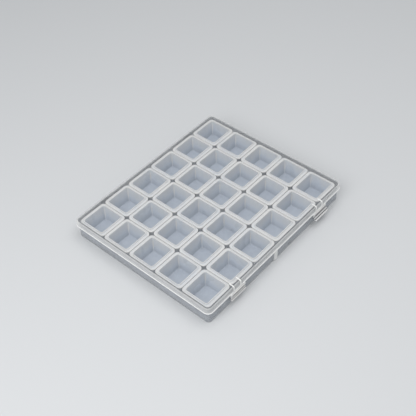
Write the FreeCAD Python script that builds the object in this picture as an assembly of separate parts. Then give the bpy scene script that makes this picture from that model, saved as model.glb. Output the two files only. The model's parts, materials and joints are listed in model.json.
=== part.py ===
"""Flat clear case with a hinged lid, two front latches and thirty lift-out cups.

Millimetres. +X runs along the long side, the latches are at -Y and the hinges at +Y.
The origin is the centre of the flat underside of the base, so the case stands on z = 0.
"""
import FreeCAD, Part
import os

Vector = FreeCAD.Vector

# Cups
CUP_COLUMNS = 6
CUP_ROWS = 5
CUP_RIM_WIDTH = 32.4
CUP_RIM_GAP = 0.6
CUP_HEIGHT = 19.2
CUP_WALL = 0.9
CUP_FLOOR = 1.0
CUP_DRAFT_INSET = 1.0
CUP_CORNER_RADIUS = 4.2
CUP_BODY_CORNER_RADIUS = 3.0
CUP_FLANGE_REACH_X = 2.0
CUP_FLANGE_REACH_Y = 2.8
CUP_FLANGE_THICKNESS = 1.1
CUP_FLANGE_DROP = 1.1

# Base tray
BASE_FLOOR = 1.4
BASE_WALL = 1.0
BASE_CORNER_RADIUS = 3.6
BASE_BOTTOM_EDGE_RADIUS = 0.8
CUP_TO_WALL_CLEARANCE = 0.8
CUPS_SETBACK = 0.5
FRONT_RIB_WIDTH = 4.4
FRONT_RIB_DEPTH = 1.0
FRONT_RIB_OFFSET = -4.2
FRONT_RIB_TOP_GAP = 0.6

# Lid
LID_PLATE = 1.0
LID_WALL = 1.3
LID_SKIRT_DEPTH = 7.0
LID_TO_BASE_CLEARANCE = 0.5
LID_SEAT_CLEARANCE = 0.15
LID_EDGE_RADIUS = 1.2
LID_LIP_REACH = 0.5
LID_LIP_HEIGHT = 0.9
CUP_HEADROOM = 1.1
STRAP_RIB_SPACING = 9.4
STRAP_RIB_WIDTH = 1.2
STRAP_RIB_HEIGHT = 0.5
STRAP_RIB_LENGTH = 6.0

# Lid hinges, one pair of base ears and one lid tongue at each
HINGE_TO_BASE_END = 37.5
HINGE_DROP = 3.5
HINGE_STANDOFF = 4.0
HINGE_BARREL_RADIUS = 2.0
HINGE_PIN_RADIUS = 1.0
HINGE_TONGUE_WIDTH = 10.0
HINGE_EAR_WIDTH = 3.0
HINGE_SIDE_CLEARANCE = 0.3
HINGE_PIN_END_GAP = 0.4
HINGE_TONGUE_RISE = 4.0
PIN_CLEARANCE = 0.06

# Front latches, hung from two ears of the lid
LATCH_TO_LID_END = 39.3
LATCH_WIDTH = 20.0
LATCH_LENGTH = 6.3
LATCH_PANEL = 1.2
LATCH_PIVOT_DROP = 1.4
LATCH_PIVOT_STANDOFF = 0.4
LATCH_BARREL_RADIUS = 1.0
LATCH_PIN_RADIUS = 0.5
LATCH_EAR_WIDTH = 1.8
LATCH_EAR_RISE = 0.7
LATCH_SIDE_CLEARANCE = 0.3
LATCH_PIN_END_GAP = 0.3
LATCH_SHOULDER_DROP = 1.4
LATCH_CORNER_RADIUS = 1.6
LATCH_LIP_REACH = 1.0
LATCH_LIP_HEIGHT = 1.1
LATCH_GRIP_REACH = 0.5
LATCH_GRIP_HEIGHT = 0.8
LATCH_GRIP_DROP = 2.7
LATCH_OPEN_AT_REST = 26.0
HOOK_WIDTH = 12.0
HOOK_DROP = 3.2
HOOK_HEIGHT = 1.2
HOOK_TIP_HEIGHT = 0.4
HOOK_TO_CATCH_CLEARANCE = 0.1
HOOK_TO_CATCH_GAP = 0.4
CATCH_REACH = 0.45
CATCH_HEIGHT = 1.2
CATCH_TIP_HEIGHT = 0.4
CATCH_SIDE_MARGIN = 1.0

# Added parts run this far into the wall that carries them, so that they become one solid
ROOT_OVERLAP = 0.4

# Two heights closer than this count as one when edges are picked
SAME_HEIGHT = 0.001

# Heights
rim_z = BASE_FLOOR + CUP_HEIGHT
lid_underside_z = rim_z + CUP_HEADROOM
lid_top_z = lid_underside_z + LID_PLATE
base_wall_top_z = lid_underside_z - LID_SEAT_CLEARANCE
skirt_bottom_z = lid_top_z - LID_SKIRT_DEPTH
hinge_z = skirt_bottom_z - HINGE_DROP
latch_z = skirt_bottom_z - LATCH_PIVOT_DROP

# Half sizes in plan, from the cups outwards
cup_pitch = CUP_RIM_WIDTH + CUP_RIM_GAP
cups_half_x = (CUP_COLUMNS * cup_pitch - CUP_RIM_GAP) / 2
cups_half_y = (CUP_ROWS * cup_pitch - CUP_RIM_GAP) / 2
base_half_x = cups_half_x + CUP_TO_WALL_CLEARANCE + BASE_WALL
base_half_y = cups_half_y + CUP_TO_WALL_CLEARANCE + BASE_WALL
lid_inner_half_x = base_half_x + LID_TO_BASE_CLEARANCE
lid_inner_half_y = base_half_y + LID_TO_BASE_CLEARANCE
lid_half_x = lid_inner_half_x + LID_WALL
lid_half_y = lid_inner_half_y + LID_WALL
lid_inner_radius = BASE_CORNER_RADIUS + LID_TO_BASE_CLEARANCE
lid_radius = lid_inner_radius + LID_WALL

# Pivot lines, and how far from the middle the hinges and latches sit along them
hinge_y = base_half_y + HINGE_STANDOFF
latch_y = -(lid_half_y + LATCH_PIVOT_STANDOFF)
hinge_offset = base_half_x - HINGE_TO_BASE_END
latch_offset = lid_half_x - LATCH_TO_LID_END


def rounded_outline(half_x, half_y, radius, z):
    """A level rounded rectangle about the origin, as one closed wire."""
    near_x = half_x - radius
    near_y = half_y - radius
    edges = []
    previous_end = None
    first_start = None
    for side_x, side_y in ((1, 1), (-1, 1), (-1, -1), (1, -1)):
        centre = Vector(side_x * near_x, side_y * near_y, z)
        on_x_side = centre + Vector(side_x * radius, 0, 0)
        on_y_side = centre + Vector(0, side_y * radius, 0)
        middle = centre + Vector(side_x, side_y, 0).normalize() * radius
        start, end = (on_x_side, on_y_side) if side_x * side_y > 0 else (on_y_side, on_x_side)
        if previous_end is None:
            first_start = start
        else:
            edges.append(Part.makeLine(previous_end, start))
        edges.append(Part.Arc(start, middle, end).toShape())
        previous_end = end
    edges.append(Part.makeLine(previous_end, first_start))
    return Part.Wire(edges)


def rounded_block(half_x, half_y, radius, z_low, z_high):
    """An upright block with a rounded rectangle for its plan."""
    outline = rounded_outline(half_x, half_y, radius, z_low)
    return Part.Face(outline).extrude(Vector(0, 0, z_high - z_low))


def tapered_block(half_x, half_y, radius, foot_inset, z_low, z_high):
    """An upright block with rounded corners, given by its top and drawn in evenly towards its foot."""
    low = rounded_outline(half_x - foot_inset, half_y - foot_inset, radius - foot_inset, z_low)
    high = rounded_outline(half_x, half_y, radius, z_high)
    return Part.makeLoft([low, high], True, True)


def box_between(x_low, x_high, y_low, y_high, z_low, z_high):
    """A box given by its lowest and highest corner."""
    return Part.makeBox(x_high - x_low, y_high - y_low, z_high - z_low, Vector(x_low, y_low, z_low))


def rod_along_x(radius, x_low, x_high, y, z):
    """A round rod that lies along X."""
    return Part.makeCylinder(radius, x_high - x_low, Vector(x_low, y, z), Vector(1, 0, 0))


def prism_along_x(section, x_low, x_high):
    """A straight bar along X with the given corners (y, z) for its section."""
    corners = [Vector(x_low, y, z) for y, z in section]
    outline = Part.makePolygon(corners + corners[:1])
    return Part.Face(outline).extrude(Vector(x_high - x_low, 0, 0))


def mirrored_offsets(offset):
    """The left and the right place of a pair."""
    return (-offset, offset)


def edges_at_height(shape, z):
    """The level edges of a solid that lie at one height."""
    return [
        edge for edge in shape.Edges
        if abs(edge.BoundBox.ZMin - z) < SAME_HEIGHT and abs(edge.BoundBox.ZMax - z) < SAME_HEIGHT
    ]


def make_cup():
    """One cup standing on z = 0, with a broad ledge around it just under its rim."""
    rim_half = CUP_RIM_WIDTH / 2
    body_half_x = rim_half - CUP_FLANGE_REACH_X
    body_half_y = rim_half - CUP_FLANGE_REACH_Y
    body = tapered_block(body_half_x, body_half_y, CUP_BODY_CORNER_RADIUS, CUP_DRAFT_INSET, 0, CUP_HEIGHT)
    flange_top = CUP_HEIGHT - CUP_FLANGE_DROP
    flange_foot = flange_top - CUP_FLANGE_THICKNESS
    flange = rounded_block(rim_half, rim_half, CUP_CORNER_RADIUS, flange_foot, flange_top)
    inset_at_floor = CUP_DRAFT_INSET * (1 - CUP_FLOOR / CUP_HEIGHT)
    hollow = tapered_block(
        body_half_x - CUP_WALL, body_half_y - CUP_WALL, CUP_BODY_CORNER_RADIUS - CUP_WALL,
        inset_at_floor, CUP_FLOOR, CUP_HEIGHT,
    )
    return flange.fuse(body).cut(hollow).removeSplitter()


def catch_section():
    """The ridge on the front wall that a latch hook snaps under."""
    wall_y = -base_half_y
    bottom_z = latch_z - HOOK_DROP + HOOK_TO_CATCH_GAP
    tip_y = wall_y - CATCH_REACH
    root_y = wall_y + ROOT_OVERLAP
    return [
        (root_y, bottom_z),
        (tip_y, bottom_z),
        (tip_y, bottom_z + CATCH_TIP_HEIGHT),
        (wall_y, bottom_z + CATCH_HEIGHT),
        (root_y, bottom_z + CATCH_HEIGHT),
    ]


def hinge_ears(centre_x):
    """The two ears of the base that hold one lid tongue between them."""
    inner = HINGE_TONGUE_WIDTH / 2 + HINGE_SIDE_CLEARANCE
    outer = inner + HINGE_EAR_WIDTH
    ears = []
    for x_low, x_high in ((centre_x - outer, centre_x - inner), (centre_x + inner, centre_x + outer)):
        web = box_between(
            x_low, x_high, base_half_y - ROOT_OVERLAP, hinge_y,
            hinge_z - HINGE_BARREL_RADIUS, hinge_z + HINGE_BARREL_RADIUS,
        )
        eye = rod_along_x(HINGE_BARREL_RADIUS, x_low, x_high, hinge_y, hinge_z)
        bore = rod_along_x(HINGE_PIN_RADIUS + PIN_CLEARANCE, x_low, x_high, hinge_y, hinge_z)
        ears.append(web.fuse(eye).cut(bore))
    return ears


def make_base_tray():
    """The open tray that carries the cups, with the hinge ears and the latch catches."""
    shell = rounded_block(base_half_x, base_half_y, BASE_CORNER_RADIUS, 0, base_wall_top_z)
    shell = shell.makeFillet(BASE_BOTTOM_EDGE_RADIUS, edges_at_height(shell, 0))
    hollow = rounded_block(
        base_half_x - BASE_WALL, base_half_y - BASE_WALL, BASE_CORNER_RADIUS - BASE_WALL,
        BASE_FLOOR, base_wall_top_z,
    )
    tray = shell.cut(hollow)
    added = []
    for centre_x in mirrored_offsets(hinge_offset):
        added += hinge_ears(centre_x)
    catch_half = HOOK_WIDTH / 2 + CATCH_SIDE_MARGIN
    for centre_x in mirrored_offsets(latch_offset):
        added.append(prism_along_x(catch_section(), centre_x - catch_half, centre_x + catch_half))
    added.append(
        box_between(
            FRONT_RIB_OFFSET - FRONT_RIB_WIDTH / 2, FRONT_RIB_OFFSET + FRONT_RIB_WIDTH / 2,
            -base_half_y - FRONT_RIB_DEPTH, -base_half_y + ROOT_OVERLAP,
            BASE_BOTTOM_EDGE_RADIUS, skirt_bottom_z - FRONT_RIB_TOP_GAP,
        )
    )
    return tray.multiFuse(added).removeSplitter()


def lid_tongue(centre_x):
    """The arm of the lid that turns between one pair of hinge ears, with its two pins."""
    half = HINGE_TONGUE_WIDTH / 2
    root_y = lid_half_y - ROOT_OVERLAP
    lip_y = lid_half_y + LID_LIP_REACH
    section = [
        (root_y, skirt_bottom_z),
        (hinge_y - HINGE_BARREL_RADIUS, hinge_z),
        (hinge_y + HINGE_BARREL_RADIUS, hinge_z),
        (lip_y, skirt_bottom_z + HINGE_TONGUE_RISE),
        (root_y, skirt_bottom_z + HINGE_TONGUE_RISE),
    ]
    arm = prism_along_x(section, centre_x - half, centre_x + half)
    barrel = rod_along_x(HINGE_BARREL_RADIUS, centre_x - half, centre_x + half, hinge_y, hinge_z)
    pin_half = half + HINGE_SIDE_CLEARANCE + HINGE_EAR_WIDTH - HINGE_PIN_END_GAP
    pin = rod_along_x(HINGE_PIN_RADIUS, centre_x - pin_half, centre_x + pin_half, hinge_y, hinge_z)
    return arm.fuse(barrel).fuse(pin)


def latch_ears(centre_x):
    """The two ears under the lid's front lip that one latch hangs between."""
    outer = LATCH_WIDTH / 2
    inner = outer - LATCH_EAR_WIDTH
    web_back_y = -(lid_half_y - LID_WALL + ROOT_OVERLAP)
    ears = []
    for x_low, x_high in ((centre_x - outer, centre_x - inner), (centre_x + inner, centre_x + outer)):
        web = box_between(x_low, x_high, latch_y, web_back_y, latch_z, skirt_bottom_z + LATCH_EAR_RISE)
        eye = rod_along_x(LATCH_BARREL_RADIUS, x_low, x_high, latch_y, latch_z)
        bore = rod_along_x(LATCH_PIN_RADIUS + PIN_CLEARANCE, x_low, x_high, latch_y, latch_z)
        ears.append(web.fuse(eye).cut(bore))
    return ears


def strap_ribs(centre_x):
    """The two ribs that run over the lid's front edge and down to the latch."""
    top_z = lid_top_z + STRAP_RIB_HEIGHT
    front_y = -(lid_half_y + STRAP_RIB_HEIGHT)
    ribs = []
    for rib_x in (centre_x - STRAP_RIB_SPACING / 2, centre_x + STRAP_RIB_SPACING / 2):
        x_low = rib_x - STRAP_RIB_WIDTH / 2
        x_high = rib_x + STRAP_RIB_WIDTH / 2
        block = box_between(x_low, x_high, front_y, front_y + STRAP_RIB_LENGTH, skirt_bottom_z, top_z)
        front_edges = [
            edge for edge in edges_at_height(block, top_z)
            if edge.BoundBox.YMax < front_y + STRAP_RIB_HEIGHT
        ]
        block = block.makeFillet(LID_EDGE_RADIUS + STRAP_RIB_HEIGHT, front_edges)
        inside = box_between(
            x_low, x_high, front_y + STRAP_RIB_HEIGHT + ROOT_OVERLAP, front_y + STRAP_RIB_LENGTH,
            skirt_bottom_z, lid_top_z - ROOT_OVERLAP,
        )
        ribs.append(block.cut(inside))
    return ribs


def make_lid():
    """The lid: a flat plate with a skirt, a lip around its lower edge, two tongues and four ears."""
    shell = rounded_block(lid_half_x, lid_half_y, lid_radius, skirt_bottom_z, lid_top_z)
    shell = shell.makeFillet(LID_EDGE_RADIUS, edges_at_height(shell, lid_top_z))
    lip = rounded_block(
        lid_half_x + LID_LIP_REACH, lid_half_y + LID_LIP_REACH, lid_radius + LID_LIP_REACH,
        skirt_bottom_z, skirt_bottom_z + LID_LIP_HEIGHT,
    )
    hollow = rounded_block(
        lid_inner_half_x, lid_inner_half_y, lid_inner_radius, skirt_bottom_z, lid_underside_z
    )
    lid = shell.fuse(lip).cut(hollow)
    added = []
    for centre_x in mirrored_offsets(hinge_offset):
        added.append(lid_tongue(centre_x))
    for centre_x in mirrored_offsets(latch_offset):
        added += latch_ears(centre_x)
        added += strap_ribs(centre_x)
    return lid.multiFuse(added).removeSplitter()


def latch_panel(centre_x):
    """The flat of a latch: narrow between the ears, full width below them, with rounded lower corners."""
    inner_y = latch_y + LATCH_PANEL / 2
    outer_y = latch_y - LATCH_PANEL / 2
    neck_half = LATCH_WIDTH / 2 - LATCH_EAR_WIDTH - LATCH_SIDE_CLEARANCE
    shoulder_z = latch_z - LATCH_SHOULDER_DROP
    foot_z = latch_z - LATCH_LENGTH
    half = LATCH_WIDTH / 2
    neck = box_between(centre_x - neck_half, centre_x + neck_half, outer_y, inner_y, shoulder_z, latch_z)
    body = box_between(centre_x - half, centre_x + half, outer_y, inner_y, foot_z, shoulder_z)
    grip_top_z = latch_z - LATCH_GRIP_DROP
    grip = box_between(
        centre_x - half, centre_x + half, outer_y - LATCH_GRIP_REACH, outer_y,
        grip_top_z - LATCH_GRIP_HEIGHT, grip_top_z,
    )
    lip = box_between(
        centre_x - half, centre_x + half, outer_y - LATCH_LIP_REACH, outer_y,
        foot_z, foot_z + LATCH_LIP_HEIGHT,
    )
    rounded = round_lower_corners(body.fuse(lip).removeSplitter(), foot_z)
    return rounded.multiFuse([neck, grip])


def round_lower_corners(shape, foot_z):
    """Rounds the two lower corners of a latch, seen from the front."""
    corner_edges = []
    for edge in shape.Edges:
        box = edge.BoundBox
        lies_along_y = box.YLength > box.XLength + box.ZLength
        at_the_foot = box.ZMax < foot_z + SAME_HEIGHT
        if lies_along_y and at_the_foot:
            corner_edges.append(edge)
    return shape.makeFillet(LATCH_CORNER_RADIUS, corner_edges)


def hook_section():
    """The bead inside a latch that sits under the catch on the front wall."""
    top_z = latch_z - HOOK_DROP
    bottom_z = top_z - HOOK_HEIGHT
    root_y = latch_y
    tip_y = -(base_half_y + CATCH_REACH + HOOK_TO_CATCH_CLEARANCE)
    return [
        (root_y, top_z),
        (tip_y, top_z),
        (tip_y, top_z - HOOK_TIP_HEIGHT),
        (latch_y + LATCH_PANEL / 2, bottom_z),
        (root_y, bottom_z),
    ]


def make_latch(centre_x, open_angle):
    """One latch on its pivot line, swung outwards from closed by the given angle in degrees."""
    neck_half = LATCH_WIDTH / 2 - LATCH_EAR_WIDTH - LATCH_SIDE_CLEARANCE
    pin_half = LATCH_WIDTH / 2 - LATCH_PIN_END_GAP
    barrel = rod_along_x(LATCH_BARREL_RADIUS, centre_x - neck_half, centre_x + neck_half, latch_y, latch_z)
    pin = rod_along_x(LATCH_PIN_RADIUS, centre_x - pin_half, centre_x + pin_half, latch_y, latch_z)
    hook = prism_along_x(hook_section(), centre_x - HOOK_WIDTH / 2, centre_x + HOOK_WIDTH / 2)
    latch = latch_panel(centre_x).multiFuse([barrel, pin, hook]).removeSplitter()
    latch.rotate(Vector(centre_x, latch_y, latch_z), Vector(-1, 0, 0), open_angle)
    return latch


def cup_place(row, column):
    """Where a cup stands: row 1 is at the front, column 1 is at the left, all a little nearer the hinges."""
    x = (column - (CUP_COLUMNS + 1) / 2) * cup_pitch
    y = (row - (CUP_ROWS + 1) / 2) * cup_pitch + CUPS_SETBACK
    return Vector(x, y, BASE_FLOOR)


def build_parts():
    """Every node of the case, by name."""
    parts = {
        "base_tray": make_base_tray(),
        "lid": make_lid(),
        "latch_left": make_latch(-latch_offset, 0),
        "latch_right": make_latch(latch_offset, LATCH_OPEN_AT_REST),
    }
    cup = make_cup()
    for row in range(1, CUP_ROWS + 1):
        for column in range(1, CUP_COLUMNS + 1):
            parts[f"cup_row{row}_col{column}"] = cup.translated(cup_place(row, column))
    return parts


os.makedirs("parts", exist_ok=True)
for name, shape in build_parts().items():
    shape.exportStep(f"parts/{name}.step")
    box = shape.BoundBox
    print(
        f"{name}: {len(shape.Solids)} solid, valid {shape.isValid()}, {shape.Volume:.1f} mm3, "
        f"x {box.XMin:.2f} to {box.XMax:.2f}, y {box.YMin:.2f} to {box.YMax:.2f}, "
        f"z {box.ZMin:.2f} to {box.ZMax:.2f}"
    )
print(f"hinge line y {hinge_y:.3f} z {hinge_z:.3f}, latch line y {latch_y:.3f} z {latch_z:.3f}")
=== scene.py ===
import json
import math
from collections import namedtuple

import bmesh
import bpy
from mathutils import Matrix, Vector


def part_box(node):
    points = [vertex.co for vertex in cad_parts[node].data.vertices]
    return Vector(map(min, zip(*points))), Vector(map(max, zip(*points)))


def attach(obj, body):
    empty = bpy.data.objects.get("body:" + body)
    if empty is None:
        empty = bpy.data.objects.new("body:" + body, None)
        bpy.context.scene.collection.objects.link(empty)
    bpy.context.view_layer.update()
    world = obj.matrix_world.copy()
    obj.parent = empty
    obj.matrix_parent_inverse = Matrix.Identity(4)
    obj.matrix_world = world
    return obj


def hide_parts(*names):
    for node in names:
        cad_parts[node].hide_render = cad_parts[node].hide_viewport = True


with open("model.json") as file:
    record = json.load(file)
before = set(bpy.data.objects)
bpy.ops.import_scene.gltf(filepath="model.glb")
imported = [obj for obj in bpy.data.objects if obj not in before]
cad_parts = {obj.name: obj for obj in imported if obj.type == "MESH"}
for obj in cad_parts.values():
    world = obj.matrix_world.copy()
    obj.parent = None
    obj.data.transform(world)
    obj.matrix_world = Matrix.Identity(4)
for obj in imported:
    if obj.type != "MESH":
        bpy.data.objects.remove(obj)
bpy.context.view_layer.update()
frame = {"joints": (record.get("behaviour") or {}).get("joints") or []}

MM = 0.001

# Grid of cups
CUP_ROWS = 5
CUP_COLUMNS = 6

# Cup
CUP_WALL = 0.9 * MM
CUP_FLOOR = 1.0 * MM
CUP_DRAFT_INSET = 1.0 * MM
CUP_CORNER_RADIUS = 4.2 * MM
CUP_BODY_CORNER_RADIUS = 3.0 * MM
CUP_FLANGE_REACH_X = 2.0 * MM
CUP_FLANGE_REACH_Y = 2.8 * MM
CUP_FLANGE_THICKNESS = 1.1 * MM
CUP_FLANGE_DROP = 1.1 * MM
CUP_FLOOR_FILLET = 0.9 * MM
CUP_FOOT_ROUNDING = 0.8 * MM
CUP_RIM_ROUNDING = 0.28 * MM
# Under the rim the inner wall is painted lighter over this band: painted light
CUP_PAINTED_LIGHT_BAND = 1.2 * MM

# Base tray
TRAY_FLOOR = 1.4 * MM
TRAY_WALL = 1.0 * MM
TRAY_HALF_X = 100.5 * MM
TRAY_HALF_Y = 84.0 * MM
TRAY_CORNER_RADIUS = 3.6 * MM
TRAY_FOOT_ROUNDING = 0.8 * MM
# Up to this height the tray's foot is a painted highlight line in the edge plastic, and painted shade makes
# the wall above it darker towards the bottom
TRAY_FOOT_HIGHLIGHT_BAND = 1.0 * MM
TRAY_RIM_ROUNDING = 0.3 * MM
FRONT_RIB_WIDTH = 4.4 * MM
FRONT_RIB_DEPTH = 1.0 * MM
FRONT_RIB_OFFSET = -4.2 * MM
FRONT_RIB_TOP_GAP = 0.6 * MM

# Lid
LID_PLATE = 1.0 * MM
LID_WALL = 1.3 * MM
LID_SKIRT_DEPTH = 7.0 * MM
LID_LIP_REACH = 0.5 * MM
LID_LIP_HEIGHT = 0.9 * MM
LID_TO_TRAY_CLEARANCE = 0.5 * MM
LID_EDGE_RADIUS = 1.2 * MM
STRAP_RIB_SPACING = 9.4 * MM
STRAP_RIB_WIDTH = 1.2 * MM
STRAP_RIB_HEIGHT = 0.5 * MM
STRAP_RIB_LENGTH = 6.0 * MM

# Back hinges
HINGE_OFFSET = 63.0 * MM
HINGE_BARREL_RADIUS = 2.0 * MM
HINGE_PIN_RADIUS = 1.0 * MM
HINGE_TONGUE_WIDTH = 10.0 * MM
HINGE_EAR_WIDTH = 3.0 * MM
HINGE_SIDE_CLEARANCE = 0.3 * MM
HINGE_PIN_END_GAP = 0.4 * MM
HINGE_TONGUE_RISE = 4.0 * MM
PIN_CLEARANCE = 0.06 * MM

# Front latches
LATCH_WIDTH = 20.0 * MM
LATCH_LENGTH = 6.3 * MM
LATCH_PANEL = 1.2 * MM
LATCH_BARREL_RADIUS = 1.0 * MM
LATCH_PIN_RADIUS = 0.5 * MM
LATCH_EAR_WIDTH = 1.8 * MM
LATCH_EAR_RISE = 0.7 * MM
LATCH_SIDE_CLEARANCE = 0.3 * MM
LATCH_PIN_END_GAP = 0.3 * MM
LATCH_SHOULDER_DROP = 1.4 * MM
LATCH_CORNER_RADIUS = 1.6 * MM
LATCH_LIP_REACH = 1.0 * MM
LATCH_LIP_HEIGHT = 1.1 * MM
LATCH_GRIP_REACH = 0.5 * MM
LATCH_GRIP_HEIGHT = 0.8 * MM
LATCH_GRIP_DROP = 2.7 * MM
RIGHT_LATCH_OPEN = math.radians(26)
HOOK_WIDTH = 12.0 * MM
HOOK_DROP = 3.2 * MM
HOOK_HEIGHT = 1.2 * MM
HOOK_TIP_HEIGHT = 0.4 * MM
HOOK_TO_CATCH_CLEARANCE = 0.1 * MM
HOOK_TO_CATCH_GAP = 0.4 * MM
CATCH_REACH = 0.45 * MM
CATCH_HEIGHT = 1.2 * MM
CATCH_TIP_HEIGHT = 0.4 * MM
CATCH_SIDE_MARGIN = 1.0 * MM

# Added parts run this far into the wall that carries them
ROOT_OVERLAP = 0.4 * MM

# How finely round stretches are divided
CORNER_SEGMENTS = 8
EDGE_SEGMENTS = 3
EASE_SEGMENTS = 2
LID_EDGE_SEGMENTS = 5
BARREL_SEGMENTS = 32

# Edges sharper than the angle are shaded as edges, and small parts have them eased by this much
SHARP_ANGLE = math.radians(40)
EDGE_EASE = 0.22 * MM

# Points closer together than this are made one point
MERGE_DISTANCE = EDGE_EASE / 100

# Points of a rounded foot this close to the end of a straight side belong to that side
SIDE_END_REACH = 0.1 * MM

# Axes by their number
AXIS_X = 0
AXIS_Y = 1
AXIS_Z = 2

# The four corners of a rounded rectangle, in order around it
CORNER_SIDES = ((-1, -1), (1, -1), (1, 1), (-1, 1))

# How milky the plastic looks, from a thin clear sheet at 0 to a thick edge at 1; on the cups and tray the
# same levels also paint light and shade
MILK_AND_LIGHT_FLOOR = 0.0
MILK_AND_LIGHT_WALL = 0.25
MILK_AND_LIGHT_BAND = 0.6
MILK_AND_LIGHT_LEDGE = 0.8
MILK_AND_LIGHT_RIM = 1.0

# Faces of an eased edge carry this material number until their part is put into a shape
EASED = 1

# A level rounded rectangle that a skin is drawn out through, and the material that leads to it; its points
# get a milkiness, and a painted highlight towards its round corners
Ring = namedtuple("Ring", "half_x half_y radius z rounding milk slot corner_milk", defaults=(0.0,))

# A kind of plastic, with its tones evenly spread from clear to milky
Plastic = namedtuple("Plastic", "name tones alpha roughness")

# A square lamp, with its size in metres and its power in watts
Lamp = namedtuple("Lamp", "name place size power")

TRAY_PLASTIC = Plastic(
    name="tray_plastic_hazy",
    tones=((0.09, 0.105, 0.125), (0.75, 0.785, 0.835)),
    alpha=0.36,
    roughness=0.32,
)
# Cup tones: darker and bluer towards the clear end, which the cup floor takes, partly painted shade; lighter
# towards the milky end at the rim, partly painted light
CUP_PLASTIC = Plastic(
    name="cup_plastic_milky_painted_light",
    tones=((0.44, 0.495, 0.58), (0.6, 0.66, 0.745), (0.77, 0.765, 0.75)),
    alpha=0.8,
    roughness=0.3,
)
PLATE_PLASTIC = Plastic(
    name="lid_plate_clear",
    tones=((0.8, 0.82, 0.84), (0.85, 0.86, 0.87)),
    alpha=0.06,
    roughness=0.2,
)
SKIRT_PLASTIC = Plastic(
    name="lid_skirt_hazy",
    tones=((0.74, 0.74, 0.745), (0.87, 0.87, 0.86)),
    alpha=0.36,
    roughness=0.26,
)
EDGE_PLASTIC = Plastic(
    name="lid_edge_milky",
    tones=((0.76, 0.765, 0.77), (0.9, 0.9, 0.89)),
    alpha=0.85,
    roughness=0.24,
)
LATCH_PLASTIC = Plastic(
    name="latch_plastic_clear",
    tones=((0.24, 0.24, 0.25), (0.88, 0.87, 0.86)),
    alpha=0.7,
    roughness=0.26,
)

# Unevenness of every plastic: upright flow streaks, cloudy patches and a fine grain
PLASTIC_IOR = 1.49
STREAK_STRETCH = (1.0, 1.0, 0.12)
STREAK_NOISE = {"Scale": 240.0, "Detail": 3.0, "Roughness": 0.55}
CLOUD_NOISE = {"Scale": 38.0, "Detail": 2.0, "Roughness": 0.5}
GRAIN_NOISE = {"Scale": 1900.0, "Detail": 2.0, "Roughness": 0.5}
GRAIN_BUMP = {"Strength": 0.12, "Distance": 0.06 * MM}

# Streaks and clouds together sway the milkiness, and clouds alone sway the roughness
DRIFT_RANGE = (0.6, 1.4)
MILK_SWAY = (-0.15, 0.15)
CLOUD_RANGE = (0.3, 0.7)
ROUGHNESS_SWAY = (-0.07, 0.09)

# Floor and light
FLOOR_HALF = 6.0
FLOOR_COLOUR = (0.6, 0.61, 0.62)
FLOOR_ROUGHNESS = 0.7
SKY_COLOUR = (0.96, 0.98, 1.0)
SKY_STRENGTH = 0.5
KEY_LAMP = Lamp(name="key_lamp", place=(-0.75, -0.1, 0.75), size=0.7, power=5.5)
TOP_LAMP = Lamp(name="top_lamp", place=(0.1, -0.22, 1.1), size=0.9, power=5.0)

# Camera, with its place in metres and its sensor and lens in millimetres
CAMERA_PLACE = (-0.38915, -0.35358, 0.56212)
CAMERA_AZIMUTH = math.radians(-47.49)
CAMERA_ELEVATION = math.radians(46.284)
CAMERA_ROLL = math.radians(-2.593)
CAMERA_SENSOR = 36.0
CAMERA_LENS = 66.42


def pivot(joint_name):
    """A point on the line that a joint turns about."""
    return next(joint["pos_m"] for joint in frame["joints"] if joint["name"] == joint_name)


# Heights and pivot lines, from the frame
_, hinge_y, hinge_z = pivot("lid_hinge")
latch_offset, latch_y, latch_z = pivot("latch_right_hinge")
tray_top_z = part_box("base_tray")[1].z
lid_top_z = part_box("lid")[1].z - STRAP_RIB_HEIGHT
lid_underside_z = lid_top_z - LID_PLATE
skirt_bottom_z = lid_top_z - LID_SKIRT_DEPTH
lid_half_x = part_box("lid")[1].x - LID_LIP_REACH
lid_half_y = TRAY_HALF_Y + LID_TO_TRAY_CLEARANCE + LID_WALL


def new_shape():
    """An empty shape whose points carry how milky the plastic is there, together with painted light and
    shade.
    """
    shape = bmesh.new()
    shape.verts.layers.float.new("milk")
    return shape


def set_milk_and_light(shape, verts, amount):
    """Gives points their milkiness, which also carries painted light and shade."""
    layer = shape.verts.layers.float["milk"]
    for vert in verts:
        vert[layer] = amount


def round_off(shape, geom, amount, segments, affect, clamp=False):
    """Rounds points or edges of a shape and gives back the new faces."""
    rounded = bmesh.ops.bevel(
        shape, geom=geom, offset=amount, offset_type="OFFSET", segments=segments,
        profile=0.5, affect=affect, clamp_overlap=clamp, material=-1,
    )
    return rounded["faces"]


def push_out(shape, geom, kind):
    """Extrudes geometry where it is and gives back the new items of one kind."""
    pushed = bmesh.ops.extrude_face_region(shape, geom=geom)["geom"]
    return [item for item in pushed if isinstance(item, kind)]


def rounded_face(shape, corners):
    """The first face of an empty shape. Each of its corners is a place and a radius to round it by."""
    verts = [shape.verts.new(place) for place, _ in corners]
    shape.faces.new(verts)
    for vert, (_, radius) in zip(verts, corners):
        if radius > 0:
            round_off(shape, [vert], radius, CORNER_SEGMENTS, "VERTICES")
    return next(iter(shape.faces))


def corner_centre(ring, side_x, side_y):
    """The centre of the round at one corner of a ring."""
    return Vector((side_x * (ring.half_x - ring.radius), side_y * (ring.half_y - ring.radius), ring.z))


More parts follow.
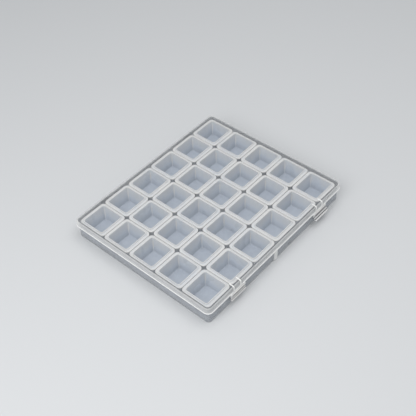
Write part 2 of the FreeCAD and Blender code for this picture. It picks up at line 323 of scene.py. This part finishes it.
def draw_out(shape, end, before, ring):
    """Extrudes the end of a skin from one ring to the next, corner by corner."""
    # Given its edges too, the extrude takes away an old end that closes a skin, but keeps a lone first face
    end, = push_out(shape, [end, *end.edges], bmesh.types.BMFace)
    grow = Matrix.Scale(ring.radius / before.radius, 4)
    for side_x, side_y in CORNER_SIDES:
        verts = [vert for vert in end.verts if vert.co.x * side_x > 0 and vert.co.y * side_y > 0]
        from_old = Matrix.Translation(-corner_centre(before, side_x, side_y))
        to_new = Matrix.Translation(corner_centre(ring, side_x, side_y))
        bmesh.ops.transform(shape, matrix=to_new @ grow @ from_old, verts=verts)
    return end


def set_ring_milk_and_light(shape, end, ring):
    """Gives a ring's points their milkiness, with a painted highlight added towards the ring's corners."""
    for vert in end.verts:
        out_x = abs(vert.co.x) - ring.half_x + ring.radius
        out_y = abs(vert.co.y) - ring.half_y + ring.radius
        into_corner = (2 * out_x * out_y / ring.radius ** 2) ** 2
        set_milk_and_light(shape, [vert], ring.milk + into_corner * ring.corner_milk)


def square_sides(shape, rounded, ring):
    """Moves the rounding of a foot back out to a square edge along the straight sides, up to the corners."""
    verts = {vert for face in rounded for vert in face.verts}
    for side_x, side_y in CORNER_SIDES:
        for along, across, side in ((AXIS_X, AXIS_Y, side_x), (AXIS_Y, AXIS_X, side_y)):
            edge = corner_centre(ring, side_x, side_y)
            edge[along] += side * ring.radius
            column = [
                vert for vert in verts
                if abs(vert.co[across] - edge[across]) < SIDE_END_REACH and vert.co[along] * side > 0
            ]
            column.sort(key=lambda vert: vert.co.z)
            for at, vert in enumerate(column):
                place = edge.lerp(column[-1].co, at / EDGE_SEGMENTS)
                bmesh.ops.translate(shape, verts=[vert], vec=place - vert.co)


def loft(shape, rings):
    """A closed skin drawn out through rings. Both of its ends have the material of the first ring."""
    first = rings[0]
    end = rounded_face(shape, [
        ((side_x * first.half_x, side_y * first.half_y, first.z), first.radius)
        for side_x, side_y in CORNER_SIDES
    ])
    end.material_index = first.slot
    set_ring_milk_and_light(shape, end, first)
    outlines = [end.edges[:]]
    for before, ring in zip(rings, rings[1:]):
        end = draw_out(shape, end, before, ring)
        set_ring_milk_and_light(shape, end, ring)
        outlines.append(end.edges[:])
        for edge in end.edges:
            for face in edge.link_faces:
                face.material_index = ring.slot
    end.material_index = first.slot
    for outline, ring in zip(outlines, rings):
        if ring.rounding > 0:
            rounded = round_off(shape, outline, ring.rounding, EDGE_SEGMENTS, "EDGES")
            if ring is first:
                square_sides(shape, rounded, ring)
    bmesh.ops.recalc_face_normals(shape, faces=shape.faces)


def ease_edges(part):
    """Rounds the sharp edges of a small solid a little and marks the new faces."""
    sharp = [edge for edge in part.edges if edge.calc_face_angle(0) > SHARP_ANGLE]
    for face in round_off(part, sharp, EDGE_EASE, EASE_SEGMENTS, "EDGES", clamp=True):
        face.material_index = EASED


def add_part(shape, part, milk, material, edge_material):
    """Puts a finished small solid into a larger shape."""
    bmesh.ops.recalc_face_normals(part, faces=part.faces)
    set_milk_and_light(part, part.verts, milk)
    for face in part.faces:
        face.material_index = edge_material if face.material_index == EASED else material
    scrap = bpy.data.meshes.new("small_part")
    part.to_mesh(scrap)
    part.free()
    shape.from_mesh(scrap)
    bpy.data.meshes.remove(scrap)


def prism(place, corners, low, high):
    """A straight bar. Each corner of its section is (first, second, radius), and place maps to 3-D."""
    part = new_shape()
    section = rounded_face(part, [(place(first, second, low), radius) for first, second, radius in corners])
    moved = push_out(part, [section], bmesh.types.BMVert)
    travel = Vector(place(0, 0, high)) - Vector(place(0, 0, low))
    bmesh.ops.translate(part, vec=travel, verts=moved)
    # Where two rounds meet, or one ends at a corner, two points lie in one place
    bmesh.ops.remove_doubles(part, verts=part.verts[:], dist=MERGE_DISTANCE)
    ease_edges(part)
    return part


def across_x(y, z, x):
    """Places a section drawn in Y and Z at one X."""
    return (x, y, z)


def across_y(x, z, y):
    """Places a section drawn in X and Z at one Y."""
    return (x, y, z)


def rod_along_x(radius, x_low, x_high, y, z):
    """A round rod along X with eased ends."""
    part = new_shape()
    turn = Matrix.Rotation(math.pi / 2, 4, "Y")
    place = Matrix.Translation(((x_low + x_high) / 2, y, z)) @ turn
    bmesh.ops.create_cone(
        part, cap_ends=True, segments=BARREL_SEGMENTS, radius1=radius, radius2=radius,
        depth=x_high - x_low, matrix=place,
    )
    ease_edges(part)
    return part


def bored_ear(x_low, x_high, y, z, radius, bore, root_axis, root):
    """An ear across X: a bored round end at the pivot, drawn out straight to its root."""
    part = new_shape()
    turn = Matrix.Translation((x_low, y, z)) @ Matrix.Rotation(math.pi / 2, 4, "Y")
    loops = []
    for size in (radius, bore):
        circle = bmesh.ops.create_circle(part, segments=BARREL_SEGMENTS, radius=size, matrix=turn)
        loops.append(circle["verts"])
    centre = (x_low, y, z)[root_axis]
    for vert in loops[0]:
        if (vert.co[root_axis] - centre) * (root - centre) > 0:
            vert.co[root_axis] = root
    rims = list({edge for verts in loops for vert in verts for edge in vert.link_edges})
    ring = bmesh.ops.bridge_loops(part, edges=rims)["faces"]
    moved = push_out(part, ring, bmesh.types.BMVert)
    bmesh.ops.translate(part, vec=(x_high - x_low, 0, 0), verts=moved)
    ease_edges(part)
    return part


def ear_spans(centre_x, inner, outer):
    """Where the two ears beside one pivot begin and end along X."""
    return (centre_x - outer, centre_x - inner), (centre_x + inner, centre_x + outer)


def finish_piece(name, shape, materials, body, node, place=None):
    """Makes a shape into a piece that stands for its node and rides on its body."""
    mesh = bpy.data.meshes.new(name)
    shape.to_mesh(mesh)
    if place is not None:
        mesh.transform(place)
    for polygon in mesh.polygons:
        polygon.use_smooth = True
    mesh.set_sharp_from_angle(angle=SHARP_ANGLE)
    for material in materials:
        mesh.materials.append(material)
    piece = bpy.data.objects.new(name, mesh)
    bpy.context.scene.collection.objects.link(piece)
    normals = piece.modifiers.new("even_normals", "WEIGHTED_NORMAL")
    normals.keep_sharp = True
    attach(piece, body)
    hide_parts(node)


def plain_node(nodes, kind, **values):
    """A shader node with some of its inputs set."""
    node = nodes.new(kind)
    for key, value in values.items():
        node.inputs[key].default_value = value
    return node


def range_node(nodes, old, new):
    """A shader node that maps one range of values to another."""
    return plain_node(nodes, "ShaderNodeMapRange", **{
        "From Min": old[0], "From Max": old[1], "To Min": new[0], "To Max": new[1],
    })


def sum_node(nodes, links, first, second):
    """A shader node that adds two outputs of others."""
    node = nodes.new("ShaderNodeMath")
    node.operation = "ADD"
    links.new(first, node.inputs[0])
    links.new(second, node.inputs[1])
    return node


def moulded_plastic(plastic):
    """Hazy moulded plastic, toned from clear to milky by a point value that also carries painted light and
    shade, with flow streaks and an uneven soft gloss.
    """
    material = bpy.data.materials.new(plastic.name)
    material.use_nodes = True
    nodes = material.node_tree.nodes
    links = material.node_tree.links
    shader = nodes["Principled BSDF"]
    shader.inputs["Alpha"].default_value = plastic.alpha
    shader.inputs["IOR"].default_value = PLASTIC_IOR

    place = nodes.new("ShaderNodeTexCoord")
    milk = nodes.new("ShaderNodeAttribute")
    milk.attribute_name = "milk"

    stretch = plain_node(nodes, "ShaderNodeMapping", Scale=STREAK_STRETCH)
    links.new(place.outputs["Object"], stretch.inputs["Vector"])
    streaks = plain_node(nodes, "ShaderNodeTexNoise", **STREAK_NOISE)
    links.new(stretch.outputs["Vector"], streaks.inputs["Vector"])
    clouds = plain_node(nodes, "ShaderNodeTexNoise", **CLOUD_NOISE)
    links.new(place.outputs["Object"], clouds.inputs["Vector"])

    drift = sum_node(nodes, links, streaks.outputs["Fac"], clouds.outputs["Fac"])
    haze = range_node(nodes, DRIFT_RANGE, MILK_SWAY)
    links.new(drift.outputs["Value"], haze.inputs["Value"])
    amount = sum_node(nodes, links, milk.outputs["Fac"], haze.outputs["Result"])
    amount.use_clamp = True

    colour = nodes.new("ShaderNodeValToRGB")
    stops = colour.color_ramp.elements
    for step in range(1, len(plastic.tones) - 1):
        stops.new(step / (len(plastic.tones) - 1))
    for stop, tone in zip(stops, plastic.tones):
        stop.color = (*tone, 1.0)
    links.new(amount.outputs["Value"], colour.inputs["Fac"])
    links.new(colour.outputs["Color"], shader.inputs["Base Color"])

    gloss = range_node(nodes, CLOUD_RANGE, [plastic.roughness + sway for sway in ROUGHNESS_SWAY])
    links.new(clouds.outputs["Fac"], gloss.inputs["Value"])
    links.new(gloss.outputs["Result"], shader.inputs["Roughness"])

    grain = plain_node(nodes, "ShaderNodeTexNoise", **GRAIN_NOISE)
    links.new(place.outputs["Object"], grain.inputs["Vector"])
    bump = plain_node(nodes, "ShaderNodeBump", **GRAIN_BUMP)
    links.new(grain.outputs["Fac"], bump.inputs["Height"])
    links.new(bump.outputs["Normal"], shader.inputs["Normal"])
    return material


def make_cup_shape():
    """One cup standing on z = 0, with a broad ledge around it just under its rim."""
    cup_slot = 0
    low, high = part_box("cup_row1_col1")
    rim_half = (high.x - low.x) / 2
    height = high.z - low.z
    body_half_x = rim_half - CUP_FLANGE_REACH_X
    body_half_y = rim_half - CUP_FLANGE_REACH_Y
    flange_top = height - CUP_FLANGE_DROP
    flange_foot = flange_top - CUP_FLANGE_THICKNESS

    def drafted(z, rounding, milk, inset=0.0, corner_milk=0.0):
        """A ring of the body, which narrows towards its foot, at an inset from its outside."""
        narrowing = inset + CUP_DRAFT_INSET * (1 - z / height)
        radius = CUP_BODY_CORNER_RADIUS - narrowing
        half_x = body_half_x - narrowing
        half_y = body_half_y - narrowing
        return Ring(half_x, half_y, radius, z, rounding, milk, cup_slot, corner_milk)

    # Inside, the floor is darkest and the wall grows lighter up to the rim: partly the plastic's milkiness,
    # partly painted shade on the floor and painted light on the upper wall
    rings = [
        drafted(0, CUP_FOOT_ROUNDING, MILK_AND_LIGHT_BAND),
        drafted(flange_foot, 0, MILK_AND_LIGHT_LEDGE),
        Ring(rim_half, rim_half, CUP_CORNER_RADIUS, flange_foot, CUP_RIM_ROUNDING, MILK_AND_LIGHT_RIM, cup_slot),
        Ring(rim_half, rim_half, CUP_CORNER_RADIUS, flange_top, CUP_RIM_ROUNDING, MILK_AND_LIGHT_RIM, cup_slot),
        drafted(flange_top, 0, MILK_AND_LIGHT_LEDGE),
        drafted(height, CUP_RIM_ROUNDING, MILK_AND_LIGHT_RIM),
        drafted(height, CUP_RIM_ROUNDING, MILK_AND_LIGHT_RIM, CUP_WALL),
        drafted(height - CUP_PAINTED_LIGHT_BAND, 0, MILK_AND_LIGHT_LEDGE, CUP_WALL),
        # Lower down, the inner wall's corners get a painted highlight: lighter upright streaks in each
        # corner
        drafted(height / 2, 0, MILK_AND_LIGHT_BAND, CUP_WALL, MILK_AND_LIGHT_BAND),
        drafted(CUP_FLOOR, CUP_FLOOR_FILLET, MILK_AND_LIGHT_FLOOR, CUP_WALL, MILK_AND_LIGHT_BAND),
    ]
    shape = new_shape()
    loft(shape, rings)
    return shape


def make_cups(plastic):
    """Thirty cups, each riding on its own body."""
    shape = make_cup_shape()
    for row in range(1, CUP_ROWS + 1):
        for column in range(1, CUP_COLUMNS + 1):
            node = f"cup_row{row}_col{column}"
            low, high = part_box(node)
            place = Matrix.Translation(((low.x + high.x) / 2, (low.y + high.y) / 2, low.z))
            finish_piece(f"{node}_moulded", shape, [plastic], node, node, place)
    shape.free()


def add_hinge_ears(shape, centre_x, material):
    """The two bored ears of the tray at one hinge."""
    inner = HINGE_TONGUE_WIDTH / 2 + HINGE_SIDE_CLEARANCE
    for x_low, x_high in ear_spans(centre_x, inner, inner + HINGE_EAR_WIDTH):
        ear = bored_ear(
            x_low, x_high, hinge_y, hinge_z, HINGE_BARREL_RADIUS, HINGE_PIN_RADIUS + PIN_CLEARANCE,
            AXIS_Y, TRAY_HALF_Y - ROOT_OVERLAP,
        )
        add_part(shape, ear, MILK_AND_LIGHT_BAND, material, material)


def add_catch(shape, centre_x, material):
    """The ridge on the front wall that one latch hook snaps under."""
    bottom_z = latch_z - HOOK_DROP + HOOK_TO_CATCH_GAP
    root_y = -TRAY_HALF_Y + ROOT_OVERLAP
    tip_y = -TRAY_HALF_Y - CATCH_REACH
    half = HOOK_WIDTH / 2 + CATCH_SIDE_MARGIN
    section = [
        (root_y, bottom_z, 0),
        (tip_y, bottom_z, 0),
        (tip_y, bottom_z + CATCH_TIP_HEIGHT, 0),
        (-TRAY_HALF_Y, bottom_z + CATCH_HEIGHT, 0),
        (root_y, bottom_z + CATCH_HEIGHT, 0),
    ]
    catch = prism(across_x, section, centre_x - half, centre_x + half)
    add_part(shape, catch, MILK_AND_LIGHT_BAND, material, material)


def add_front_rib(shape, material):
    """The upright rib near the middle of the front wall."""
    left = FRONT_RIB_OFFSET - FRONT_RIB_WIDTH / 2
    right = FRONT_RIB_OFFSET + FRONT_RIB_WIDTH / 2
    top = skirt_bottom_z - FRONT_RIB_TOP_GAP
    outline = [
        (left, TRAY_FOOT_ROUNDING, 0),
        (right, TRAY_FOOT_ROUNDING, 0),
        (right, top, 0),
        (left, top, 0),
    ]
    rib = prism(across_y, outline, -TRAY_HALF_Y - FRONT_RIB_DEPTH, -TRAY_HALF_Y + ROOT_OVERLAP)
    add_part(shape, rib, MILK_AND_LIGHT_RIM, material, material)


def make_tray(plastic, edge):
    """The open base tray, with a painted highlight line at its foot and painted shade low on its wall, hinge
    ears, catches and a front rib.
    """
    wall_slot, edge_slot = range(2)

    def outer(z, rounding, milk, slot):
        """A ring of the tray's outside."""
        return Ring(TRAY_HALF_X, TRAY_HALF_Y, TRAY_CORNER_RADIUS, z, rounding, milk, slot)

    def inner(z, rounding, milk, slot):
        """A ring of the tray's inside."""
        radius = TRAY_CORNER_RADIUS - TRAY_WALL
        return Ring(TRAY_HALF_X - TRAY_WALL, TRAY_HALF_Y - TRAY_WALL, radius, z, rounding, milk, slot)

    rings = [
        # Painted highlight: a light line at the foot; painted shade: the outer wall darker towards the
        # bottom
        outer(0, TRAY_FOOT_ROUNDING, MILK_AND_LIGHT_RIM, wall_slot),
        outer(TRAY_FOOT_HIGHLIGHT_BAND, 0, MILK_AND_LIGHT_WALL, edge_slot),
        outer(skirt_bottom_z, 0, MILK_AND_LIGHT_LEDGE, wall_slot),
        outer(tray_top_z, TRAY_RIM_ROUNDING, MILK_AND_LIGHT_FLOOR, wall_slot),
        inner(tray_top_z, TRAY_RIM_ROUNDING, MILK_AND_LIGHT_FLOOR, wall_slot),
        inner(skirt_bottom_z, 0, MILK_AND_LIGHT_WALL, wall_slot),
        # Painted light: the inner floor is made lightest, where shade falls between the cups
        inner(TRAY_FLOOR, TRAY_RIM_ROUNDING, MILK_AND_LIGHT_RIM, wall_slot),
    ]
    shape = new_shape()
    loft(shape, rings)
    for side in (-1, 1):
        add_hinge_ears(shape, side * HINGE_OFFSET, wall_slot)
        add_catch(shape, side * latch_offset, wall_slot)
    add_front_rib(shape, edge_slot)
    finish_piece("base_tray_moulded", shape, [plastic, edge], "base", "base_tray")
    shape.free()


def add_tongue(shape, centre_x, material):
    """One hinge tongue of the lid, with the barrel and the pins at its foot."""
    half = HINGE_TONGUE_WIDTH / 2
    front = hinge_y - HINGE_BARREL_RADIUS
    back = hinge_y + HINGE_BARREL_RADIUS
    foot = hinge_z - HINGE_BARREL_RADIUS
    root_y = lid_half_y - ROOT_OVERLAP
    top = skirt_bottom_z + HINGE_TONGUE_RISE
    section = [
        (front, foot, HINGE_BARREL_RADIUS),
        (back, foot, HINGE_BARREL_RADIUS),
        (back, hinge_z, 0),
        (lid_half_y + LID_LIP_REACH, top, 0),
        (root_y, top, 0),
        (root_y, skirt_bottom_z, 0),
        (front, hinge_z, 0),
    ]
    arm = prism(across_x, section, centre_x - half, centre_x + half)
    add_part(shape, arm, MILK_AND_LIGHT_BAND, material, material)
    reach = half + HINGE_SIDE_CLEARANCE + HINGE_EAR_WIDTH - HINGE_PIN_END_GAP
    pin = rod_along_x(HINGE_PIN_RADIUS, centre_x - reach, centre_x + reach, hinge_y, hinge_z)
    add_part(shape, pin, MILK_AND_LIGHT_BAND, material, material)


def add_latch_ears(shape, centre_x, material):
    """The two bored ears under the lid's front lip that one latch hangs between."""
    outer = LATCH_WIDTH / 2
    for x_low, x_high in ear_spans(centre_x, outer - LATCH_EAR_WIDTH, outer):
        ear = bored_ear(
            x_low, x_high, latch_y, latch_z, LATCH_BARREL_RADIUS, LATCH_PIN_RADIUS + PIN_CLEARANCE,
            AXIS_Z, skirt_bottom_z + LATCH_EAR_RISE,
        )
        add_part(shape, ear, MILK_AND_LIGHT_BAND, material, material)


def add_strap_ribs(shape, centre_x, material):
    """The two ribs that run over the lid's front edge above one latch."""
    front_y = -lid_half_y - STRAP_RIB_HEIGHT
    top_z = lid_top_z + STRAP_RIB_HEIGHT
    section = [
        (front_y, skirt_bottom_z, 0),
        (front_y, top_z, LID_EDGE_RADIUS + STRAP_RIB_HEIGHT),
        (front_y + STRAP_RIB_LENGTH, top_z, 0),
        (front_y + STRAP_RIB_LENGTH, lid_top_z - ROOT_OVERLAP, 0),
        (-lid_half_y + ROOT_OVERLAP, lid_top_z - ROOT_OVERLAP, 0),
        (-lid_half_y + ROOT_OVERLAP, skirt_bottom_z, 0),
    ]
    for side in (-1, 1):
        middle = centre_x + side * STRAP_RIB_SPACING / 2
        low = middle - STRAP_RIB_WIDTH / 2
        high = middle + STRAP_RIB_WIDTH / 2
        add_part(shape, prism(across_x, section, low, high), MILK_AND_LIGHT_RIM, material, material)


def make_lid(plate, skirt, edge):
    """The lid: a clear plate, a hazy skirt with a milky lip, hinge tongues, latch ears and strap ribs."""
    plate_slot, skirt_slot, edge_slot = range(3)
    inner_x = lid_half_x - LID_WALL
    inner_y = lid_half_y - LID_WALL
    inner_radius = TRAY_CORNER_RADIUS + LID_TO_TRAY_CLEARANCE
    radius = inner_radius + LID_WALL
    lip_x = lid_half_x + LID_LIP_REACH
    lip_y = lid_half_y + LID_LIP_REACH
    lip_radius = radius + LID_LIP_REACH
    lip_top = skirt_bottom_z + LID_LIP_HEIGHT
    rings = [
        Ring(inner_x, inner_y, inner_radius, lid_underside_z, 0, MILK_AND_LIGHT_WALL, plate_slot),
        Ring(inner_x, inner_y, inner_radius, skirt_bottom_z, 0, MILK_AND_LIGHT_BAND, skirt_slot),
        Ring(lip_x, lip_y, lip_radius, skirt_bottom_z, EDGE_EASE, MILK_AND_LIGHT_RIM, edge_slot),
        Ring(lip_x, lip_y, lip_radius, lip_top, EDGE_EASE, MILK_AND_LIGHT_RIM, edge_slot),
        Ring(lid_half_x, lid_half_y, radius, lip_top, 0, MILK_AND_LIGHT_BAND, edge_slot),
        Ring(lid_half_x, lid_half_y, radius, lid_top_z - LID_EDGE_RADIUS, 0, MILK_AND_LIGHT_LEDGE, skirt_slot),
    ]
    for step in range(1, LID_EDGE_SEGMENTS + 1):
        angle = step / LID_EDGE_SEGMENTS * math.pi / 2
        inset = LID_EDGE_RADIUS * (1 - math.cos(angle))
        z = lid_top_z - LID_EDGE_RADIUS * (1 - math.sin(angle))
        half_x = lid_half_x - inset
        half_y = lid_half_y - inset
        rings.append(Ring(half_x, half_y, radius - inset, z, 0, MILK_AND_LIGHT_RIM, skirt_slot))
    shape = new_shape()
    loft(shape, rings)
    for side in (-1, 1):
        add_tongue(shape, side * HINGE_OFFSET, skirt_slot)
        add_latch_ears(shape, side * latch_offset, edge_slot)
        add_strap_ribs(shape, side * latch_offset, edge_slot)
    finish_piece("lid_moulded", shape, [plate, skirt, edge], "lid", "lid")
    shape.free()


def make_latch_shape():
    """One latch about its own pivot line, hanging straight down."""
    panel_slot, edge_slot = range(2)
    half = LATCH_WIDTH / 2
    neck = half - LATCH_EAR_WIDTH - LATCH_SIDE_CLEARANCE
    front = -LATCH_PANEL / 2
    back = LATCH_PANEL / 2
    foot = -LATCH_LENGTH
    shoulder = -LATCH_SHOULDER_DROP
    panel = [
        (-half, foot, LATCH_CORNER_RADIUS),
        (half, foot, LATCH_CORNER_RADIUS),
        (half, shoulder, 0),
        (neck, shoulder, 0),
        (neck, 0, 0),
        (-neck, 0, 0),
        (-neck, shoulder, 0),
        (-half, shoulder, 0),
    ]
    lip_top = foot + LATCH_LIP_HEIGHT
    lip_rounding = min(LATCH_CORNER_RADIUS, LATCH_LIP_HEIGHT - EDGE_EASE)
    lip = [
        (-half, foot, lip_rounding),
        (half, foot, lip_rounding),
        (half, lip_top, 0),
        (-half, lip_top, 0),
    ]
    grip_top = -LATCH_GRIP_DROP
    grip_foot = grip_top - LATCH_GRIP_HEIGHT
    grip = [(-half, grip_foot, 0), (half, grip_foot, 0), (half, grip_top, 0), (-half, grip_top, 0)]
    hook_tip = -(TRAY_HALF_Y + CATCH_REACH + HOOK_TO_CATCH_CLEARANCE) - latch_y
    hook = [
        (0, -HOOK_DROP, 0),
        (hook_tip, -HOOK_DROP, 0),
        (hook_tip, -HOOK_DROP - HOOK_TIP_HEIGHT, 0),
        (back, -HOOK_DROP - HOOK_HEIGHT, 0),
        (0, -HOOK_DROP - HOOK_HEIGHT, 0),
    ]
    pin_half = half - LATCH_PIN_END_GAP
    shape = new_shape()
    for part, milk in (
        (prism(across_y, panel, front, back), MILK_AND_LIGHT_FLOOR),
        (prism(across_y, lip, front - LATCH_LIP_REACH, back - EDGE_EASE), MILK_AND_LIGHT_RIM),
        (prism(across_y, grip, front - LATCH_GRIP_REACH, 0), MILK_AND_LIGHT_RIM),
        (rod_along_x(LATCH_BARREL_RADIUS, -neck, neck, 0, 0), MILK_AND_LIGHT_RIM),
        (rod_along_x(LATCH_PIN_RADIUS, -pin_half, pin_half, 0, 0), MILK_AND_LIGHT_RIM),
        (prism(across_x, hook, -HOOK_WIDTH / 2, HOOK_WIDTH / 2), MILK_AND_LIGHT_WALL),
    ):
        add_part(shape, part, milk, panel_slot, edge_slot)
    return shape


def make_latches(plastic, edge):
    """The closed left latch and the right latch, which stands open a little."""
    shape = make_latch_shape()
    for name, side, angle in (("latch_left", -1, 0), ("latch_right", 1, RIGHT_LATCH_OPEN)):
        swing = Matrix.Rotation(-angle, 4, "X")
        place = Matrix.Translation((side * latch_offset, latch_y, latch_z)) @ swing
        finish_piece(f"{name}_moulded", shape, [plastic, edge], name, name, place)
    shape.free()


def make_floor():
    """A plain pale floor."""
    shape = bmesh.new()
    bmesh.ops.create_grid(shape, x_segments=1, y_segments=1, size=FLOOR_HALF)
    mesh = bpy.data.meshes.new("floor")
    shape.to_mesh(mesh)
    shape.free()
    floor = bpy.data.objects.new("floor", mesh)
    bpy.context.scene.collection.objects.link(floor)
    material = bpy.data.materials.new("pale_floor")
    material.use_nodes = True
    shader = material.node_tree.nodes["Principled BSDF"]
    shader.inputs["Base Color"].default_value = (*FLOOR_COLOUR, 1.0)
    shader.inputs["Roughness"].default_value = FLOOR_ROUGHNESS
    mesh.materials.append(material)


def make_lamp(lamp):
    """A soft square lamp that faces the middle of the case."""
    data = bpy.data.lights.new(lamp.name, "AREA")
    data.shape = "SQUARE"
    data.size = lamp.size
    data.energy = lamp.power
    light = bpy.data.objects.new(lamp.name, data)
    light.location = lamp.place
    light.rotation_euler = (-Vector(lamp.place)).to_track_quat("-Z", "Y").to_euler()
    bpy.context.scene.collection.objects.link(light)


def make_light():
    """Plain soft studio light: most from above and from the left end, a little from the front."""
    world = bpy.data.worlds.new("studio")
    world.use_nodes = True
    background = world.node_tree.nodes["Background"]
    background.inputs["Color"].default_value = (*SKY_COLOUR, 1.0)
    background.inputs["Strength"].default_value = SKY_STRENGTH
    bpy.context.scene.world = world
    make_lamp(KEY_LAMP)
    make_lamp(TOP_LAMP)


def make_camera():
    """The camera at the photograph's angle."""
    back = Vector((
        math.sin(CAMERA_AZIMUTH) * math.cos(CAMERA_ELEVATION),
        -math.cos(CAMERA_AZIMUTH) * math.cos(CAMERA_ELEVATION),
        math.sin(CAMERA_ELEVATION),
    ))
    data = bpy.data.cameras.new("camera")
    data.sensor_width = CAMERA_SENSOR
    data.lens = CAMERA_LENS
    camera = bpy.data.objects.new("camera", data)
    turn = (-back).to_track_quat("-Z", "Y").to_matrix() @ Matrix.Rotation(CAMERA_ROLL, 3, "Z")
    camera.matrix_world = Matrix.Translation(CAMERA_PLACE) @ turn.to_4x4()
    bpy.context.scene.collection.objects.link(camera)
    bpy.context.scene.camera = camera


make_camera()
make_light()
make_floor()
edge_plastic = moulded_plastic(EDGE_PLASTIC)
make_tray(moulded_plastic(TRAY_PLASTIC), edge_plastic)
make_cups(moulded_plastic(CUP_PLASTIC))
make_lid(moulded_plastic(PLATE_PLASTIC), moulded_plastic(SKIRT_PLASTIC), edge_plastic)
make_latches(moulded_plastic(LATCH_PLASTIC), edge_plastic)

bpy.context.scene.view_settings.view_transform = "Standard"
